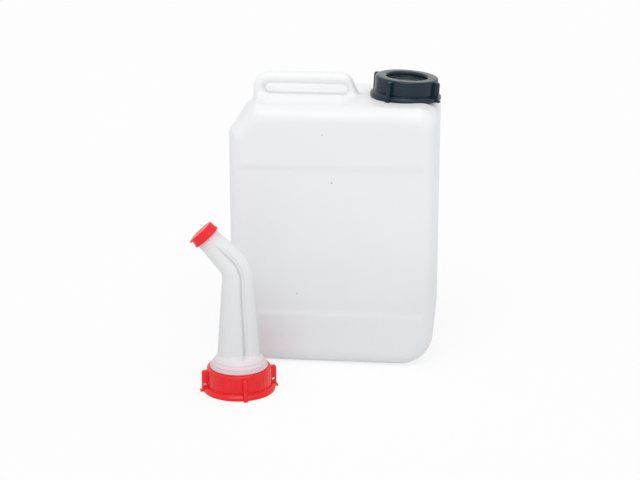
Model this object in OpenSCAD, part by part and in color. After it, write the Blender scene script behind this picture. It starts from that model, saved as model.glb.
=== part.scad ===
// Five-litre water jerrycan of blow-moulded plastic, with its dark screw cap,
// and beside it the pouring spout that screws on in the cap's place.
// Millimetres, +Z up. The origin is the middle of the can's base, on the ground.

/* [Can] */
// Width of the can, left to right
can_w = 190; // [170:1:230]
// Depth of the can, front to back
can_d = 125; // [115:1:150]
// Height of the can's shoulders above the ground
can_h = 246.5; // [225:0.5:290]
// Wall of the can
can_wall = 2.2; // [1.6:0.1:3]
// Rounding of the edges all round
edge_r = 14; // [10:1:20]
// Rounding of the lower corners, seen from the front
base_r = 31; // [24:1:45]
// Rounding of the upper corner beside the neck, seen from the front
shoulder_r = 18; // [14:1:30]
// How far the slanted shoulder reaches in from the left side
slant_in = 10; // [4:1:20]
// How far the slanted shoulder reaches down
slant_down = 14; // [6:1:30]

/* [Label panels] */
// Height of the lower edge of the panels
panel_low = 50; // [42:1:90]
// Height of the upper edge of the panels
panel_high = 192; // [150:1:205]
// How deep the panels lie in the front and the back
panel_depth = 1; // [0.5:0.1:1.5]

/* [Handle] */
// Left end of the finger slot
slot_left = -68; // [-74:1:-56]
// Length of the finger slot
slot_len = 78; // [60:1:82]
// Height of the finger slot above the shoulders
slot_h = 10; // [8:0.5:16]
// Rounding of the slot's upper corners
slot_r = 4.7; // [3:0.1:6]
// Height of the handle's bar
bar_h = 10.6; // [8:0.2:14]
// Thickness of the handle, front to back
bar_t = 16; // [12:1:20]
// Rounding of the bar's edges
bar_edge_r = 5; // [2:0.5:5]
// Lean of the handle's right end from upright
handle_lean = 24; // [10:1:30]
// Rounding of the bar's right end, seen from the front
lean_r = 10.7; // [8:0.1:13]
// How far the handle's feet reach down into the can
handle_sink = 6; // [4:0.5:8]
// Width of the ridge between the two finger troughs
ridge_w = 16; // [12:1:20]
// Width of each finger trough
trough_w = 36; // [28:1:38]
// Depth of each finger trough
trough_depth = 8; // [5:0.5:9]
// How far inside the finger slot's ends each trough is at its full depth
trough_end = 11; // [8:1:16]

/* [Neck and thread] */
// Distance of the neck's axis from the can's right side
neck_inset = 31.5; // [29:0.5:39]
// Lean of the neck towards the right side
neck_lean = 3.5; // [0:0.5:6]
// How far the neck's seat lies below the shoulders
seat_sink = 1.2; // [0.5:0.1:2]
// Width of the seat that shows around the cap's foot
seat_margin = 4; // [3.5:0.5:6]
// Radius of the neck's bore
mouth_r = 20.5; // [18:0.5:21]
// Radius of the neck outside, at the root of its thread
neck_r = 23.2; // [22.5:0.1:23.5]
// Height of the neck above its seat
neck_h = 11.4; // [10:0.2:14]
// Pitch of the thread
thread_pitch = 6; // [5:0.5:7]
// How far each thread stands out
thread_depth = 1.6; // [1.2:0.1:1.8]
// Width of a thread at its root
thread_root_w = 2.8; // [2:0.1:3]
// Width of a thread at its crest
thread_crest_w = 1.2; // [0.8:0.1:1.6]
// Turns of the thread
thread_turns = 1.1; // [0.8:0.1:1.2]
// Room between the two threads, measured outwards
thread_clear = 0.6; // [0.4:0.1:0.8]
// Room under the neck's thread to the cap's, measured along the neck
flank_clear = 1; // [0.4:0.1:1.3]
// Height of the cap's thread above the cap's foot
cap_thread_foot = 0.4; // [0.3:0.1:1]
// How far the neck's thread ends below the neck's rim
thread_end = 1.2; // [0.8:0.1:1.6]
// How far the neck's smooth foot stands out under the cap
boss_w = 3.2; // [2.4:0.1:4]

/* [Screw cap] */
// Radius of the cap's wall
cap_r = 29.3; // [28.5:0.1:31]
// Radius of the flange at the foot of the cap and of the ring nut
flange_r = 33; // [31.5:0.5:35]
// Height of that flange
flange_h = 5.2; // [4:0.2:7]
// Height of the cap
cap_h = 19.4; // [18:0.2:23]
// Radius of the hollow in the cap's top
hollow_r = 19.2; // [16:0.2:21]
// Depth of the hollow in the cap's top
hollow_depth = 4.6; // [3:0.2:6]
// Rounding of the cap's upper rim
rim_r = 2.2; // [1:0.1:3]
// Thickness of the cap's roof
roof_t = 2; // [1.6:0.1:3]
// Gap between the cap's foot and the neck's seat
cap_gap = 0.6; // [0.4:0.1:1.5]
// Number of grip lugs on the cap and on the ring nut
lug_count = 4; // [3:1:8]
// Thickness of a lug
lug_t = 3.4; // [2.4:0.2:5]
// How far a lug stands out past the flange
lug_past = 1.2; // [0.4:0.1:1.6]
// How far a lug's foot stands out past the lug
lug_foot = 1.6; // [0.6:0.1:2]
// Direction of the first lug on the cap
cap_lug_turn = -116; // [-180:1:180]

/* [Seals] */
// Radius of both sealing rings
seal_r = 24.9; // [24:0.1:25]
// Thickness of both sealing rings
seal_t = 1.9; // [1.5:0.1:2.2]
// Gap between a seal and what it faces
seal_gap = 0.25; // [0.1:0.05:0.4]

/* [Ring nut] */
// Radius of the ring nut's wall
nut_r = 29.3; // [28.8:0.1:31]
// Height of the ring nut
nut_h = 22; // [21:0.5:26]
// How far the nut's thread begins above the nut's foot
nut_thread_foot = 1.3; // [0.8:0.1:1.8]
// Thickness of the inward lip at the top of the ring nut
lip_t = 2.6; // [2:0.1:3.4]
// Radius of the lip's opening
lip_r = 23.6; // [22:0.1:24.5]
// Number of fine grip ribs on the ring nut
rib_count = 32; // [24:4:60]
// Radius of a grip rib
rib_r = 0.6; // [0.5:0.1:1]
// Radius of the hole at the foot of each lug
lug_hole_r = 1.5; // [1:0.1:1.8]
// Direction of the first lug on the ring nut
nut_lug_turn = -72; // [-180:1:180]

/* [Spout] */
// Where the spout stands, to the left of the can's middle
spout_left = 77; // [60:1:120]
// Where the spout stands, in front of the can's middle
spout_front = 127; // [110:1:180]
// Height of the straight part of the spout above the ground
spout_rise = 104; // [85:1:130]
// Radius of the elbow along the middle of the spout
elbow_r = 24; // [22:1:40]
// Turn of the elbow
elbow_turn = 43; // [30:1:55]
// Length of the slanted part of the spout
tip_len = 37; // [33:1:50]
// Radius of the round tip
tip_r = 10.9; // [10.4:0.1:11.5]
// Length of the round end of the tip
tip_round = 12; // [10:0.5:14]
// Wall of the spout
spout_wall = 1.6; // [1.2:0.1:2]
// Radius of the water passage outside, at its foot
water_foot_r = 15.3; // [14:0.1:16]
// Radius of the water passage outside, at the elbow
water_top_r = 11; // [10:0.1:12]
// Radius of the air passage outside, at its foot
air_foot_r = 11; // [9.5:0.1:12]
// Radius of the air passage outside, at the elbow
air_top_r = 8.6; // [7.5:0.1:9.5]
// Reach of the water passage from the spout's middle, at its foot
water_foot_reach = 19.3; // [17:0.1:21]
// Reach of the water passage from the spout's middle, at the elbow
water_top_reach = 14; // [12:0.1:16]
// Reach of the air passage from the spout's middle, at its foot
air_foot_reach = 19; // [17:0.1:21]
// Reach of the air passage from the spout's middle, at the elbow
air_top_reach = 15; // [13:0.1:17]
// Distance of the wall between the two passages from the spout's middle
divider_x = 4.2; // [3:0.1:5]
// How much narrower the spout is after the elbow than before it
elbow_shrink = 0.92; // [0.88:0.01:1]
// Radius of the spout's collar
collar_r = 26.2; // [25:0.1:27]
// Height of the spout's collar above the ring nut
collar_h = 5; // [4:0.2:7]
// Width of the step halfway up the collar
collar_step = 1.7; // [1:0.1:2.5]
// Height of the flare above the collar
flare_h = 7.4; // [6:0.2:12]
// Radius of the flare at its top
flare_top_r = 19.8; // [19:0.1:21]
// Thickness of the flange inside the ring nut
foot_flange_t = 2.4; // [1.8:0.1:2.8]
// Running gap between the spout and the ring nut
nut_clear = 0.3; // [0.2:0.05:0.5]

/* [Tip cap] */
// Height of the tip cap
tip_cap_h = 8.6; // [7:0.2:11]
// Wall of the tip cap
tip_cap_wall = 1.2; // [1:0.1:1.8]
// How far the bead stands out at the tip cap's rim
tip_bead = 0.6; // [0.4:0.1:1.2]
// Height of that bead
tip_bead_h = 2.2; // [1.6:0.1:3]
// Gap between the tip cap and the spout
tip_clear = 0.3; // [0.2:0.05:0.5]
// How far the pull tab stands out from the tip cap's end
tab_len = 2.2; // [1.6:0.2:5]

/* [Hidden] */
eps = 0.05;
hull_fn = 32;
round_fn = 64;
turn_steps = 36;
lug_corner = 2.2;
lug_foot_h = 1.6;
lug_root = 1;
flange_flat = 0.55;
groove_w = 0.9;
lean_inset = 1;
skin_sink = 3;

can_colour = [0.91, 0.92, 0.93];
cap_colour = [0.18, 0.22, 0.25];
red_colour = [0.88, 0.2, 0.19];
spout_colour = [0.86, 0.87, 0.88];
seal_colour = [0.25, 0.25, 0.26];

// Handle, in the plane through the middle of the can
slot_right = slot_left + slot_len;
slot_top = can_h + slot_h;
handle_top = slot_top + bar_h;
handle_root = can_h - handle_sink;
corner_z = slot_top - slot_r;
outer_r = slot_r + bar_h;
lean_z = handle_top - lean_r;

// Finger troughs, each a round-ended channel cut by one radius
trough_r = (pow(trough_w / 2, 2) + pow(trough_depth, 2)) / (2 * trough_depth);
trough_y = (ridge_w + trough_w) / 2;
trough_z = can_h - trough_depth + trough_r;
trough_left = slot_left + trough_end;
trough_right = slot_right - trough_end;

// Cap and neck, measured from the neck's seat along its axis
neck_x = can_w / 2 - neck_inset;
socket_r = neck_r + thread_depth + thread_clear;
boss_r = neck_r + boss_w;
seat_r = flange_r + seat_margin;
neck_foot = 8;
cap_top = cap_gap + cap_h;
roof_under = cap_top - hollow_depth - roof_t;
cap_seal_z = neck_h + seal_gap;
neck_thread_z = neck_h - thread_end - thread_root_w / 2 - thread_turns * thread_pitch;
flank_w = mix(thread_crest_w, thread_root_w, (thread_depth - thread_clear) / thread_depth / 2);
cap_thread_z = neck_thread_z - flank_w - flank_clear;
cap_thread_start = cap_gap + thread_root_w / 2 + cap_thread_foot;
cap_thread_turn = 360 * (cap_thread_start - cap_thread_z) / thread_pitch;

// Ring nut and spout, measured from the ground
lip_z = nut_h - lip_t;
foot_flange_z = lip_z - nut_clear - foot_flange_t;
spout_seal_z = foot_flange_z - seal_gap - seal_t;
nut_thread_z = thread_root_w / 2 + nut_thread_foot;
waist_r = lip_r - nut_clear;
foot_flange_r = socket_r - thread_clear;
collar_z = nut_h + nut_clear;
flare_z = collar_z + collar_h;
tube_z = flare_z + flare_h;
elbow_x = -elbow_r;
divider_half = spout_wall / 2;
elbow_steps = 9;
spout_steps = 4;

// Two closed rings joined by quads, then the next, and so on, with flat ends.
function ring_faces(n, rings) = [
    for (r = [0 : rings - 2], i = [0 : n - 1])
        [r * n + i, r * n + (i + 1) % n, (r + 1) * n + (i + 1) % n, (r + 1) * n + i]
];

// A solid through a list of rings that all have the same number of points.
module loft(rings) {
    n = len(rings[0]);
    last = (len(rings) - 1) * n;
    polyhedron(
        points = [for (ring = rings) each ring],
        faces = concat(
            [[for (i = [n - 1 : -1 : 0]) i]],
            ring_faces(n, len(rings)),
            [[for (i = [0 : n - 1]) last + i]]
        )
    );
}

// A helical ridge standing on a wall of the given radius; side 1 stands out, -1 stands in.
module thread_ridge(wall_r, side) {
    steps = ceil(thread_turns * turn_steps);
    fade = 4;
    blunt = 0.6;
    foot = 0.5;
    rings = [
        for (k = [0 : steps])
            let (
                angle = 360 * thread_turns * k / steps,
                rise = thread_pitch * angle / 360,
                full = min(1, (k + blunt) / fade, (steps - k + blunt) / fade),
                low = wall_r - side * foot,
                high = wall_r + side * thread_depth * full,
                flat = thread_crest_w / 2,
                wide = thread_root_w / 2,
                profile = [[low, -wide], [high, -flat], [high, flat], [low, wide]]
            )
            [for (p = (side > 0 ? profile : [profile[3], profile[2], profile[1], profile[0]]))
                [p[0] * cos(angle), p[0] * sin(angle), p[1] + rise]]
    ];
    loft(rings);
}

// Puts its children on the neck's seat, along the neck's axis.
module at_neck() {
    translate([neck_x, 0, can_h - seat_sink]) rotate([0, neck_lean, 0]) children();
}

// What is cut away above the neck's seat.
module seat_cut(grow) {
    at_neck() translate([0, 0, -grow]) cylinder(r = seat_r + grow, h = 2 * neck_h, $fn = round_fn);
}

// One corner of the can seen from the front: a disc with rounded rims, front to back.
module can_corner(x, z, radius, inset) {
    core = max(0, radius - edge_r);
    translate([x, 0, z]) rotate([90, 0, 0])
        for (side = [-1, 1])
            translate([0, 0, side * (can_d / 2 - edge_r)])
                rotate_extrude($fn = hull_fn) intersection() {
                    translate([core, 0]) circle(edge_r - inset, $fn = hull_fn);
                    translate([0, -edge_r]) square([core + edge_r, 2 * edge_r]);
                }
}

// The can's outer form, or its inner form where an inset is given.
module can_form(inset) {
    side = can_w / 2;
    hull() {
        for (x = [-1, 1]) can_corner(x * (side - base_r), base_r, base_r, inset);
        can_corner(side - shoulder_r, can_h - shoulder_r, shoulder_r, inset);
        can_corner(edge_r - side, can_h - edge_r - slant_down, edge_r, inset);
        can_corner(edge_r + slant_in - side, can_h - edge_r, edge_r, inset);
    }
}

// One finger trough and its mirror image behind the handle.
module troughs(grow) {
    for (side = [-1, 1])
        translate([0, side * trough_y, trough_z]) {
            translate([trough_left, 0, 0]) rotate([0, 90, 0])
                cylinder(r = trough_r + grow, h = trough_right - trough_left, $fn = round_fn);
            for (x = [trough_left, trough_right])
                translate([x, 0, 0]) sphere(trough_r + grow, $fn = round_fn);
        }
}

// The shallow label panels in the front and the back.
module panel_cuts() {
    for (back = [0, 1])
        mirror([0, back, 0]) translate([-can_w, -can_d * 1.5 + panel_depth, panel_low])
            cube([2 * can_w, can_d, panel_high - panel_low]);
}

// One section of the handle between a point on its inner and one on its outer outline.
function handle_ring(inner, outer) =
    let (
        mid = (inner + outer) / 2,
        span = outer - inner,
        half = norm(span) / 2,
        along = span / norm(span),
        r = min(bar_edge_r, half - 0.2)
    )
    [
        for (q = [0 : 3], i = [0 : 4])
            let (
                angle = 90 * q + 22.5 * i,
                sx = (q == 0 || q == 3) ? 1 : -1,
                sy = q < 2 ? 1 : -1,
                u = sx * (half - r) + r * cos(angle),
                v = sy * (bar_t / 2 - r) + r * sin(angle)
            )
            [mid[0] + along[0] * u, v, mid[1] + along[1] * u]
    ];

// The handle: up the left end, along the bar and down the leaning right end.
module handle() {
    left_in = [slot_left, 0];
    corner_x = slot_left + slot_r;
    right_x = slot_right - slot_r;
    lean_x = right_x - lean_inset;
    fall = (lean_z + lean_r * sin(handle_lean) - handle_root) * tan(handle_lean);
    lean_foot = [lean_x + lean_r * cos(handle_lean) + fall, handle_root];
    left_leg = [handle_ring([left_in[0], handle_root], [left_in[0] - bar_h, handle_root])];
    left_bend = [for (a = [180 : -15 : 90]) handle_ring(
        [corner_x + slot_r * cos(a), corner_z + slot_r * sin(a)],
        [corner_x + outer_r * cos(a), corner_z + outer_r * sin(a)])];
    right_bend = [for (k = [0 : 6])
        let (a = 90 - 15 * k, b = 90 - (90 - handle_lean) * k / 6)
        handle_ring([right_x + slot_r * cos(a), corner_z + slot_r * sin(a)],
            [lean_x + lean_r * cos(b), lean_z + lean_r * sin(b)])];
    right_leg = [handle_ring([slot_right, handle_root], lean_foot)];
    loft(concat(left_leg, left_bend, right_bend, right_leg));
}

// The can, blown in one piece with its handle and its threaded neck.
module can() {
    color(can_colour) difference() {
        union() {
            difference() {
                can_form(0);
                troughs(0);
                panel_cuts();
                seat_cut(0);
            }
            handle();
            at_neck() {
                translate([0, 0, -neck_foot])
                    cylinder(r = neck_r, h = neck_foot + neck_h, $fn = round_fn);
                translate([0, 0, -neck_foot])
                    cylinder(r = boss_r, h = neck_foot + cap_gap / 2, $fn = round_fn);
                translate([0, 0, neck_thread_z]) thread_ridge(neck_r, 1);
            }
        }
        difference() {
            can_form(can_wall);
            troughs(can_wall);
            seat_cut(can_wall);
        }
        at_neck() translate([0, 0, -2 * neck_foot])
            cylinder(r = mouth_r, h = 2 * neck_foot + neck_h + eps, $fn = round_fn);
    }
}

// The lugs: upright fins with a rounded top corner, each on a foot that stands out past it.
module lugs(wall_r, height, first_turn) {
    root = wall_r - lug_root;
    depth = flange_r + lug_past - root;
    for (k = [0 : lug_count - 1])
        rotate([90, 0, first_turn + 360 * k / lug_count])
            translate([root, 0, -lug_t / 2]) linear_extrude(lug_t) union() {
                square([depth, height - lug_corner]);
                square([depth - lug_corner, height]);
                translate([depth - lug_corner, height - lug_corner])
                    circle(lug_corner, $fn = round_fn);
                polygon([[depth - lug_root, 0], [depth + lug_foot, 0],
                    [depth + lug_foot, lug_foot_h / 2], [depth, lug_foot_h],
                    [depth - lug_root, lug_foot_h]]);
            }
}

// Outline of the outer skin of a cap or nut: flange, groove and wall up to the rounded rim.
function skin_outline(wall_r, height) = concat(
    [[flange_r, 0], [flange_r, flange_h * flange_flat], [wall_r + groove_w, flange_h],
        [wall_r, flange_h], [wall_r, height - rim_r]],
    [for (a = [15 : 15 : 90]) [wall_r - rim_r + rim_r * cos(a), height - rim_r + rim_r * sin(a)]]
);

// The dark screw cap, with its hollow top and its inner thread.
module screw_cap() {
    inner_top = cap_h - roof_t;
    step_r = hollow_r + roof_t;
    roof = roof_under - cap_gap;
    outline = concat(
        skin_outline(cap_r, cap_h),
        [for (a = [0 : 22.5 : 90])
            [hollow_r + rim_r - rim_r * sin(a), cap_h - rim_r + rim_r * cos(a)]],
        [[hollow_r, cap_h - hollow_depth], [0, cap_h - hollow_depth], [0, roof],
            [step_r, roof], [step_r, inner_top], [socket_r, inner_top], [socket_r, 0]]
    );
    color(cap_colour) at_neck() translate([0, 0, cap_gap]) {
        rotate_extrude($fn = round_fn) polygon(outline);
        rotate(cap_thread_turn) translate([0, 0, cap_thread_start - cap_gap])
            thread_ridge(socket_r, -1);
        lugs(cap_r, cap_h - rim_r / 2, cap_lug_turn);
    }
}

// The sealing disc between the cap's roof and the neck's rim.
module cap_seal() {
    height = roof_under - seal_gap / 2 - cap_seal_z;
    color(seal_colour) at_neck() translate([0, 0, cap_seal_z])
        cylinder(r = seal_r, h = height, $fn = round_fn);
}

// Puts its children where the spout stands.
module at_spout() {
    translate([-spout_left, -spout_front, 0]) children();
}

// Distance from the middle to a circle's far side, in the direction of an angle.
function reach(angle, centre, r) =
    centre * cos(angle) + sqrt(max(0, r * r - pow(centre * sin(angle), 2)));

function mix(a, b, t) = a + (b - a) * t;

// Sections of the spout: water circle's place and radius, then the air circle's.
foot_section = [water_foot_r - water_foot_reach, water_foot_r,
    air_foot_reach - air_foot_r, air_foot_r];
top_section = [water_top_r - water_top_reach, water_top_r, air_top_reach - air_top_r, air_top_r];
slant_section = elbow_shrink * top_section;
tip_section = [0, tip_r, 0, tip_r];

// Stations along the spout: place and lean of the section, then the section itself.
function spout_stations(low, past) = concat(
    [[[0, 0, low], 0, foot_section]],
    [for (k = [0 : spout_steps])
        [[0, 0, mix(tube_z, spout_rise, k / spout_steps)], 0,
            mix(foot_section, top_section, k / spout_steps)]],
    [for (k = [1 : elbow_steps])
        let (a = elbow_turn * k / elbow_steps)
        [[elbow_x + elbow_r * cos(a), 0, spout_rise + elbow_r * sin(a)], a,
            mix(top_section, slant_section, k / elbow_steps)]],
    [for (k = [1 : 3])
        let (far = (tip_len - tip_round) * k / 3)
        [tip_point(far), elbow_turn, mix(slant_section, tip_section, k / 3)]],
    [[tip_point(tip_len + past), elbow_turn, tip_section]]
);

// A point on the axis of the slanted part, some way past the elbow.
function tip_point(far) = [
    elbow_x + elbow_r * cos(elbow_turn) - far * sin(elbow_turn), 0,
    spout_rise + elbow_r * sin(elbow_turn) + far * cos(elbow_turn)
];

// A flat ring of points set at a station.
function station_ring(station, points) = [
    for (p = points)
        [station[0][0] + p[0] * cos(station[1]), p[1], station[0][2] + p[0] * sin(station[1])]
];

// The spout's outside: the outline of both circles together.
module spout_skin() {
    n = 40;
    loft([for (s = spout_stations(tube_z - skin_sink, 0))
        station_ring(s, [for (i = [0 : n - 1])
            let (a = -360 * i / n, far = max(reach(a, s[2][0], s[2][1]), reach(a, s[2][2], s[2][3])))
            [far * cos(a), far * sin(a)]])]);
}

// The water passage (side -1) or the air passage (side 1): an arc closed by the divider.
module passage(side) {
    n = 20;
    pick = side < 0 ? 0 : 2;
    loft([for (s = spout_stations(foot_flange_z - 1, 1))
        let (
            r = s[2][pick + 1] - spout_wall,
            edge = divider_x + side * divider_half,
            bound = acos((edge - s[2][pick]) / r),
            first = side < 0 ? 360 - bound : bound,
            last = side < 0 ? bound : -bound
        )
        station_ring(s, [for (i = [0 : n - 1])
            let (a = mix(first, last, i / (n - 1)))
            [s[2][pick] + r * cos(a), r * sin(a)]])]);
}

// The pouring spout, blown in one piece: flange, waist, collar, flare and bent tube.
module spout_tube() {
    dome_h = 1.3;
    dome_w = 2.4;
    dome_z = tube_z - 0.9;
    outline = [
        [0, foot_flange_z], [foot_flange_r, foot_flange_z],
        [foot_flange_r, foot_flange_z + foot_flange_t], [waist_r, foot_flange_z + foot_flange_t],
        [waist_r, collar_z], [collar_r, collar_z], [collar_r, collar_z + collar_h * 0.45],
        [collar_r - collar_step, collar_z + collar_h * 0.55],
        [collar_r - collar_step, flare_z], [flare_top_r, dome_z - dome_h],
        [flare_top_r - dome_w, dome_z], [0, dome_z]
    ];
    color(spout_colour) at_spout() difference() {
        union() {
            rotate_extrude($fn = round_fn) polygon(outline);
            spout_skin();
        }
        passage(-1);
        passage(1);
    }
}

// The sealing ring under the spout's flange.
module spout_seal() {
    color(seal_colour) at_spout() translate([0, 0, spout_seal_z]) difference() {
        cylinder(r = seal_r, h = seal_t, $fn = round_fn);
        translate([0, 0, -seal_t]) cylinder(r = mouth_r, h = 3 * seal_t, $fn = round_fn);
    }
}

// The red ring nut that turns on the spout and screws onto the can's neck.
module ring_nut() {
    outline = concat(
        skin_outline(nut_r, nut_h),
        [[lip_r, nut_h], [lip_r, lip_z], [socket_r, lip_z], [socket_r, 0]]
    );
    color(red_colour) at_spout() {
        difference() {
            union() {
                rotate_extrude($fn = round_fn) polygon(outline);
                for (k = [0 : rib_count - 1])
                    rotate(nut_lug_turn + 360 * (k + 0.5) / rib_count)
                        translate([nut_r - rib_r * 0.5, 0, flange_h - 1])
                            cylinder(r = rib_r, h = nut_h - rim_r - flange_h + 0.4, $fn = 16);
                lugs(nut_r, nut_h - rim_r, nut_lug_turn);
            }
            for (k = [0 : lug_count - 1])
                rotate(nut_lug_turn + 360 * k / lug_count)
                    translate([flange_r + lug_past - lug_root - lug_hole_r, 0, flange_h + lug_hole_r])
                        rotate([90, 0, 0])
                            cylinder(r = lug_hole_r, h = 2 * lug_t, center = true, $fn = 24);
        }
        translate([0, 0, nut_thread_z]) thread_ridge(socket_r, -1);
    }
}

// The red cap over the spout's tip, with a bead and a pull tab at its rim.
module tip_cap() {
    inner_r = tip_r + tip_clear;
    outer_r = inner_r + tip_cap_wall;
    inner_h = tip_cap_h - tip_cap_wall;
    end = tip_point(tip_len);
    edge = 0.8;
    taper = 0.4;
    bead_fall = 0.6;
    tab_w = 8;
    tab_t = 1.4;
    color(red_colour) at_spout() translate(end) rotate([0, -elbow_turn, 0])
        translate([0, 0, tip_clear - inner_h]) {
            rotate_extrude($fn = round_fn) polygon([
                [inner_r, 0], [outer_r + tip_bead, 0], [outer_r + tip_bead, tip_bead_h],
                [outer_r, tip_bead_h + bead_fall], [outer_r - taper, tip_cap_h - edge],
                [outer_r - taper - edge, tip_cap_h], [0, tip_cap_h],
                [0, inner_h], [inner_r, inner_h]
            ]);
            translate([-outer_r - tab_len + edge, -tab_w / 2, tip_cap_h - edge - tab_t])
                cube([tab_len - edge + tip_cap_wall / 2, tab_w, tab_t]);
        }
}

can();
screw_cap();
cap_seal();
spout_tube();
spout_seal();
ring_nut();
tip_cap();
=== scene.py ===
"""Looks of a five-litre water jerrycan, its screw cap and its pouring spout.

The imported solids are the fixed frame. The can, the cap, the spout, the ring nut and the tip
cap are modelled here again with finer forms, each in the place of its own solid. Sizes are in
millimetres, and the scene itself is in metres.
"""

import logging
from contextlib import contextmanager
from dataclasses import dataclass
from enum import Enum
from math import atan2, cos, degrees, hypot, pi, radians, sin, tan
from typing import Callable, Iterator, Sequence

import bmesh
import bpy
from mathutils import Matrix, Vector


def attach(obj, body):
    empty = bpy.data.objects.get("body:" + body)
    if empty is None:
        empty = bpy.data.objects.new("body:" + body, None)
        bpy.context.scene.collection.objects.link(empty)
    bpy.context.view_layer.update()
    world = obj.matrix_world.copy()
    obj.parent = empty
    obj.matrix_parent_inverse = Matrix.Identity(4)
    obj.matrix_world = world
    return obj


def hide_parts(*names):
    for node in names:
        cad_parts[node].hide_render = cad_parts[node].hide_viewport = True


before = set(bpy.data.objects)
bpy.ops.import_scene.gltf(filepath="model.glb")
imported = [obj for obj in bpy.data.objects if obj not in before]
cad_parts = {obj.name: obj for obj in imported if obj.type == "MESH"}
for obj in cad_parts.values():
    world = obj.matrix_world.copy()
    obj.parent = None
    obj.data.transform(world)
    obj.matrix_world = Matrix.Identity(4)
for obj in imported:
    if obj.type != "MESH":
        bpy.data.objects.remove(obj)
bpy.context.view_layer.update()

MM = 0.001
LOG = logging.getLogger("jerrycan")
WHITE = (1.0, 1.0, 1.0)
STAND = (-77.0, -127.0)
ELBOW_R = 24.0
ELBOW_Z = 104.0
ELBOW_TURN = 43.0
CAP_GAP = 0.6

Point = tuple[float, float]
Place = tuple[float, float, float]
Colour = tuple[float, float, float]
Piece = bpy.types.Object


class Body(Enum):
    """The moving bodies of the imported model."""

    CAN = "can"
    CAP = "cap"
    NUT = "nut"
    TIP = "tip"


class Slot(Enum):
    """The record's material slots."""

    CAN = "can_plastic"
    CAP = "cap_plastic"
    SPOUT = "spout_plastic"
    RED = "red_plastic"
    SEAL = "seal_rubber"


class Domain(Enum):
    """What a selection in edit mode holds."""

    VERT = "VERT"
    EDGE = "EDGE"
    FACE = "FACE"


def metres(*values: float) -> tuple[float, ...]:
    """Millimetres as metres."""
    return tuple(value * MM for value in values)


# Materials


class Signal:
    """An output socket whose arithmetic adds Math nodes."""

    def __init__(self, shader: "Shader", socket: bpy.types.NodeSocket) -> None:
        """Keeps the shader that the socket belongs to, and the socket."""
        self.shader = shader
        self.socket = socket

    def math(self, operation: str, *values: "Signal | float") -> "Signal":
        """Adds one Math node.

        Args:
            operation: The Math node's operation.
            values: Its operands.

        Returns:
            The node's result.
        """
        inputs = dict(enumerate(values))
        return self.shader.node("ShaderNodeMath", {"operation": operation}, inputs)

    def __add__(self, other: "Signal | float") -> "Signal":
        """self + other."""
        return self.math("ADD", self, other)

    __radd__ = __add__

    def __sub__(self, other: "Signal | float") -> "Signal":
        """self - other."""
        return self.math("SUBTRACT", self, other)

    def __rsub__(self, other: "Signal | float") -> "Signal":
        """other - self."""
        return self.math("SUBTRACT", other, self)

    def __mul__(self, other: "Signal | float") -> "Signal":
        """self * other."""
        return self.math("MULTIPLY", self, other)

    __rmul__ = __mul__

    def __abs__(self) -> "Signal":
        """The size of self without its sign."""
        return self.math("ABSOLUTE", self)

    def rise(self, low: float, high: float, start: float = 0.0, end: float = 1.0) -> "Signal":
        """Maps self smoothly from start at low to end at high.

        Args:
            low: The value where the change begins.
            high: The value where it ends.
            start: The result at low and before it.
            end: The result at high and past it.

        Returns:
            The mapped value.
        """
        inputs = {"Value": self, "From Min": low, "From Max": high, "To Min": start, "To Max": end}
        return self.shader.node("ShaderNodeMapRange", {"interpolation_type": "SMOOTHSTEP"}, inputs)


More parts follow.
